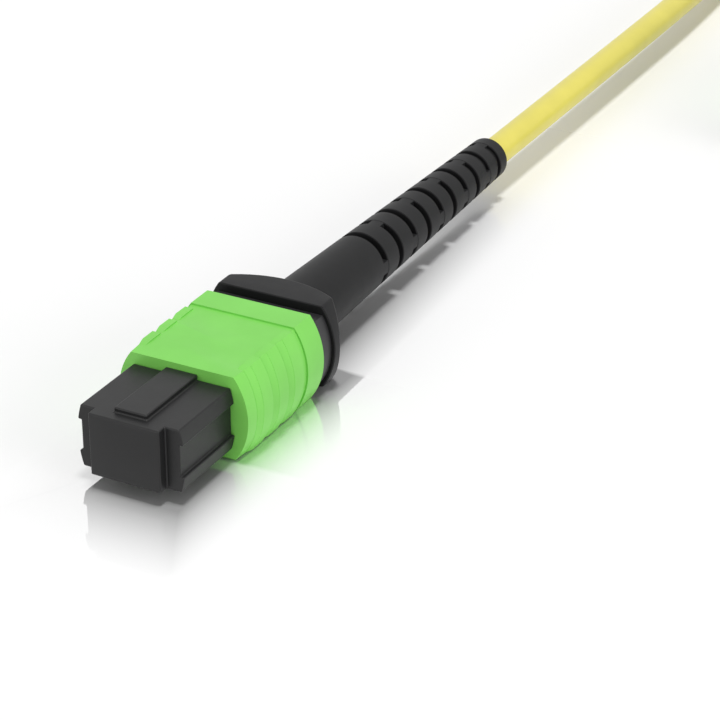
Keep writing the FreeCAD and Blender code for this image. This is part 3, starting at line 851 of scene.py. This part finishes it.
travel = {joint["name"]: joint["range_m"][1] for joint in frame["joints"]}
for end in ends:
    place = axis_start(end)
    for node in ("sleeve_spring_left", "sleeve_spring_right"):
        low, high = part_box(node)
        start, finish = reach_along(node)
        middle = (low.x + high.x) / 2 - axis_start("").x
        width = high.z - low.z
        form = wound_wire(sleeve_wire, width, width, sleeve_turns, start, finish, middle)
        spring = put_in_place(form, end + node, place)
        shorten(spring)
    low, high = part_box("ferrule_spring")
    start, finish = reach_along("ferrule_spring")
    form = wound_wire(ferrule_wire, high.x - low.x, high.z - low.z, ferrule_turns, start, finish)
    spring = put_in_place(form, end + "ferrule_spring", place)
    shorten(spring)
pushed = [name for name in travel if "cap_pull" not in name]
print("springs shorten with", ", ".join(pushed), "by", in_mm(travel[name] for name in pushed), "mm")

# %% [markdown]
# ## Straps round the coil
# Two flat straps keep the put-away turns together.  A strap could be a curve with a flat section,
# but its corners would bulge.  So the band between two rounded outlines is filled and then pushed
# out to the strap's width.

# %% Straps
strap_angles = {"left": 135, "right": 45}  # degrees round the coil
strap_width = 2.4 * mm
strap_thickness = 0.35 * mm
strap_rounding = 1.2 * mm
strap_corner_steps = 6


def strap_outline(inner, outer, low, top, rounding):
    """Rounded rectangle in the upright plane through the coil's centre."""
    points = []
    for corner, (x, z) in enumerate(((outer, top), (inner, top), (inner, low), (outer, low))):
        middle_x = x - rounding if x == outer else x + rounding
        middle_z = z - rounding if z == top else z + rounding
        for step in range(strap_corner_steps + 1):
            angle = math.pi / 2 * (corner + step / strap_corner_steps)
            points.append((middle_x + rounding * math.cos(angle), middle_z + rounding * math.sin(angle)))
    return points


def make_strap(angle):
    """One strap across the turns at an angle round the coil."""
    inner = first_turn - turns_inward * turn_spacing - cable_diameter / 2
    outer = first_turn + cable_diameter / 2
    top = high_turn + cable_diameter / 2
    wall = strap_thickness
    outlines = (
        strap_outline(inner - wall, outer + wall, 0, top + wall, strap_rounding),
        strap_outline(inner, outer, wall, top, strap_rounding - wall))
    form = bmesh.new()
    loops = []
    for outline in outlines:
        loops += drawn_loop(form, [(reach, -strap_width / 2, level) for reach, level in outline])[1]
    band = bmesh.ops.bridge_loops(form, edges=loops)["faces"]
    push_out(form, band, strap_width)
    bmesh.ops.rotate(form, verts=form.verts, cent=(0, 0, 0), matrix=Matrix.Rotation(angle, 3, "Z"))
    return form


straps = [put_in_place(make_strap(math.radians(angle)), "coil_tie_" + side, coil_centre)
          for side, angle in strap_angles.items()]
print(len(straps), "straps of", len(straps[0].data.polygons), "faces each")

# %% [markdown]
# ## The cable's finish and its body
# The jacket is satin plastic.  The cable could stay a drawn curve and no more, but in use it hangs
# and bends.  Here it gets its finish, rides on the connector's body, and stands in place of the
# model's lead, coil and tail.

# %% Cable finish
cable.data.materials.append(materials["cable_yellow"])
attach(cable, "connector")
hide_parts("cable_lead", "cable_coil", "cable_tail")

# %% [markdown]
# ## Floor: footprint
# A studio table mirrors what stands on it, most of all close to it.  A mirror let into a matt floor
# would need a hard edge somewhere.  So the floor is told how wide the connector is at each place
# along its axis, by a row of greys, and how much of the polish is left there.

# %% Footprint
cap_half_width = 4.9 * mm
step_blend = 0.1 * mm
tip_share = 0.3
footprint_length = 160 * mm
footprint_unit = 10 * mm


def sum_node(nodes, links, operation, *values):
    """One step of a sum; a value is a number or another node's result."""
    step = nodes.new("ShaderNodeMath")
    step.operation = operation
    for socket, value in zip(step.inputs, values):
        if isinstance(value, (int, float)):
            socket.default_value = value
        else:
            links.new(value, socket)
    return step.outputs[0]


def footprint_ramp(nodes):
    """Half width of the footprint as a grey, and the share of the polish, for places along it."""
    cap_end = reach_along("dust_cap")[1]
    flange_end = boot_front + flange_depth
    widths = [
        (0, cap_half_width, 1.0), (cap_end - step_blend, cap_half_width, 1.0),
        (cap_end, sleeve_width / 2, 1.0), (flange_end, sleeve_width / 2, 1.0),
        (flange_end + step_blend, boot_root_radius, 1.0), (boot_rear, boot_tip_radius, tip_share),
        (footprint_length, cable_diameter / 2, 0.0)]
    node = nodes.new("ShaderNodeValToRGB")
    stops = node.color_ramp.elements
    while len(stops) < len(widths):
        stops.new(0.5)
    for stop, (along, width, shine) in zip(stops, widths):
        stop.position = along / footprint_length
        grey = width / footprint_unit
        stop.color = (grey, grey, grey, shine)
    return node


print("footprint of the connector told for", footprint_length / mm, "mm")

# %% [markdown]
# ## Floor: polish
# The polish fades a little way off the footprint, in front of the cap further than beside it, and
# towards the cable it fades and grows duller.  One even polish would be less work, but would mirror
# the whole coil.  So the distance from the footprint is worked out with a few sums.

# %% Polish
polish = 0.66
polish_fall = 1.7
polish_front = 10.6 * mm
polish_side = 5.6 * mm
rough_dull = 0.35
rough_polished = 0.03


def floor_polish(nodes, links, place):
    """Nodes for the share of polish at each place, and for its dullness."""
    parts = nodes.new("ShaderNodeSeparateXYZ")
    links.new(place.outputs["Object"], parts.inputs[0])
    start = axis_start("")
    along = sum_node(nodes, links, "SUBTRACT", parts.outputs[1], start.y)
    ramp = footprint_ramp(nodes)
    links.new(sum_node(nodes, links, "DIVIDE", along, footprint_length), ramp.inputs["Fac"])
    half_width = sum_node(nodes, links, "MULTIPLY", ramp.outputs["Color"], footprint_unit)
    from_axis = sum_node(nodes, links, "SUBTRACT", parts.outputs[0], start.x)
    from_side = sum_node(nodes, links, "SUBTRACT", sum_node(nodes, links, "ABSOLUTE", from_axis), half_width)
    beside = sum_node(nodes, links, "DIVIDE", from_side, polish_side)
    in_front = sum_node(nodes, links, "DIVIDE", along, -polish_front)
    away = sum_node(nodes, links, "MAXIMUM", sum_node(nodes, links, "MAXIMUM", beside, in_front), 0.0)
    left = sum_node(nodes, links, "MAXIMUM", sum_node(nodes, links, "SUBTRACT", 1.0, away), 0.0)
    share = sum_node(nodes, links, "MULTIPLY", sum_node(nodes, links, "POWER", left, polish_fall), polish)
    share = sum_node(nodes, links, "MULTIPLY", share, ramp.outputs["Alpha"])
    duller = nodes.new("ShaderNodeMapRange")
    links.new(ramp.outputs["Alpha"], duller.inputs["Value"])
    duller.inputs["To Min"].default_value = rough_dull
    duller.inputs["To Max"].default_value = rough_polished
    return share, duller.outputs["Result"]


print("polish ends", in_mm([polish_side, polish_front]), "mm off, beside and in front")

# %% [markdown]
# ## Floor
# A plain pale table.  A box with a top would do, but only the top is seen, so one face is enough.
# It is wide enough to fill the view from any side, and lies a hair below the part, so that nothing
# on it flickers.

# %% Floor
floor_half = 3.0
floor_drop = 0.02 * mm
floor_grey = 0.9


def make_floor():
    """Wide floor, pale, and polished round the footprint."""
    form = bmesh.new()
    bmesh.ops.create_grid(form, x_segments=1, y_segments=1, size=floor_half)
    bmesh.ops.translate(form, verts=form.verts, vec=(0, 0, cad_low.z - floor_drop))
    mesh = bpy.data.meshes.new("floor")
    form.to_mesh(mesh)
    form.free()
    floor = bpy.data.objects.new("floor", mesh)
    bpy.context.scene.collection.objects.link(floor)
    material, nodes, links, shader, place = start_material("floor_white")
    shader.inputs["Base Color"].default_value = (floor_grey, floor_grey, floor_grey, 1)
    shader.inputs["Specular IOR Level"].default_value = 0.0
    share, dullness = floor_polish(nodes, links, place)
    links.new(share, shader.inputs["Metallic"])
    links.new(dullness, shader.inputs["Roughness"])
    floor.data.materials.append(material)
    return floor


floor = make_floor()
floor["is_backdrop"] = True
print("floor", 2 * floor_half, "m wide")

# %% [markdown]
# ## White surround
# A product stands in a white tent, which lights it evenly from all round.  A big white box could be
# built, but the world can be that tent.  It shines less strongly as a light than as it is seen, so
# that the object keeps its colours while the background and whatever mirrors it stay white.

# %% Surround
surround_light = 0.38
surround_seen = 1.0


def make_surround():
    """White all round, a little weaker as a light than as it is seen and mirrored."""
    world = bpy.data.worlds.new("surround")
    bpy.context.scene.world = world
    world.use_nodes = True
    nodes = world.node_tree.nodes
    links = world.node_tree.links
    light = nodes["Background"]
    light.inputs["Color"].default_value = (1, 1, 1, 1)
    light.inputs["Strength"].default_value = surround_light
    seen = nodes.new("ShaderNodeBackground")
    seen.inputs["Color"].default_value = (1, 1, 1, 1)
    seen.inputs["Strength"].default_value = surround_seen
    ray = nodes.new("ShaderNodeLightPath")
    choice = nodes.new("ShaderNodeMixShader")
    seen_ray = ray.outputs["Is Camera Ray"]
    for kind in ("Is Glossy Ray", "Is Transmission Ray"):
        seen_ray = sum_node(nodes, links, "MAXIMUM", seen_ray, ray.outputs[kind])
    links.new(seen_ray, choice.inputs[0])
    links.new(light.outputs[0], choice.inputs[1])
    links.new(seen.outputs[0], choice.inputs[2])
    links.new(choice.outputs[0], nodes["World Output"].inputs["Surface"])


make_surround()
view = bpy.context.scene.view_settings
view.view_transform = "Standard"
print("surround lights at", surround_light, "and is seen at", surround_seen)

# %% [markdown]
# ## Lamps
# Three lamps model the forms: a small one nearly overhead, which gives the top its light and the
# floor its shadow, and two wide ones low on the right and in front.  Panels close by would light
# the floor in patches.  Distant lamps light it evenly, and their spread sets how soft a shadow is.

# %% Lamps
def make_lamp(name, side, rise, spread, strength):
    """Distant lamp; side is in degrees round to the right of the axis and rise above the floor."""
    light = bpy.data.lights.new(name, "SUN")
    light.angle = math.radians(spread)
    light.energy = strength
    lamp = bpy.data.objects.new(name, light)
    side, rise = math.radians(side), math.radians(rise)
    away = Vector((math.sin(side) * math.cos(rise), -math.cos(side) * math.cos(rise), math.sin(rise)))
    lamp.location = axis_start("") + away
    lamp.rotation_euler = away.to_track_quat("Z", "Y").to_euler()
    bpy.context.scene.collection.objects.link(lamp)
    return lamp


lamps = [make_lamp("key_lamp", side=90, rise=86, spread=11, strength=1.9),
         make_lamp("side_lamp", side=84, rise=14, spread=45, strength=1.15),
         make_lamp("front_lamp", side=-12, rise=12, spread=45, strength=1.0)]
print([lamp.name for lamp in lamps])

# %% [markdown]
# ## Last look at the sizes
# The looks have to stay within the model's box, or the part would meet things that it doesn't
# touch.  The two boxes could be compared by eye.  Here they are kept together, and each is printed.

# %% Sizes
boxes = {"cad": [list(cad_low), list(cad_high)], "looks": [list(corner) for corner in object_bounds()]}
print("looks from", in_mm(boxes["looks"][0], 2), "to", in_mm(boxes["looks"][1], 2), "mm")
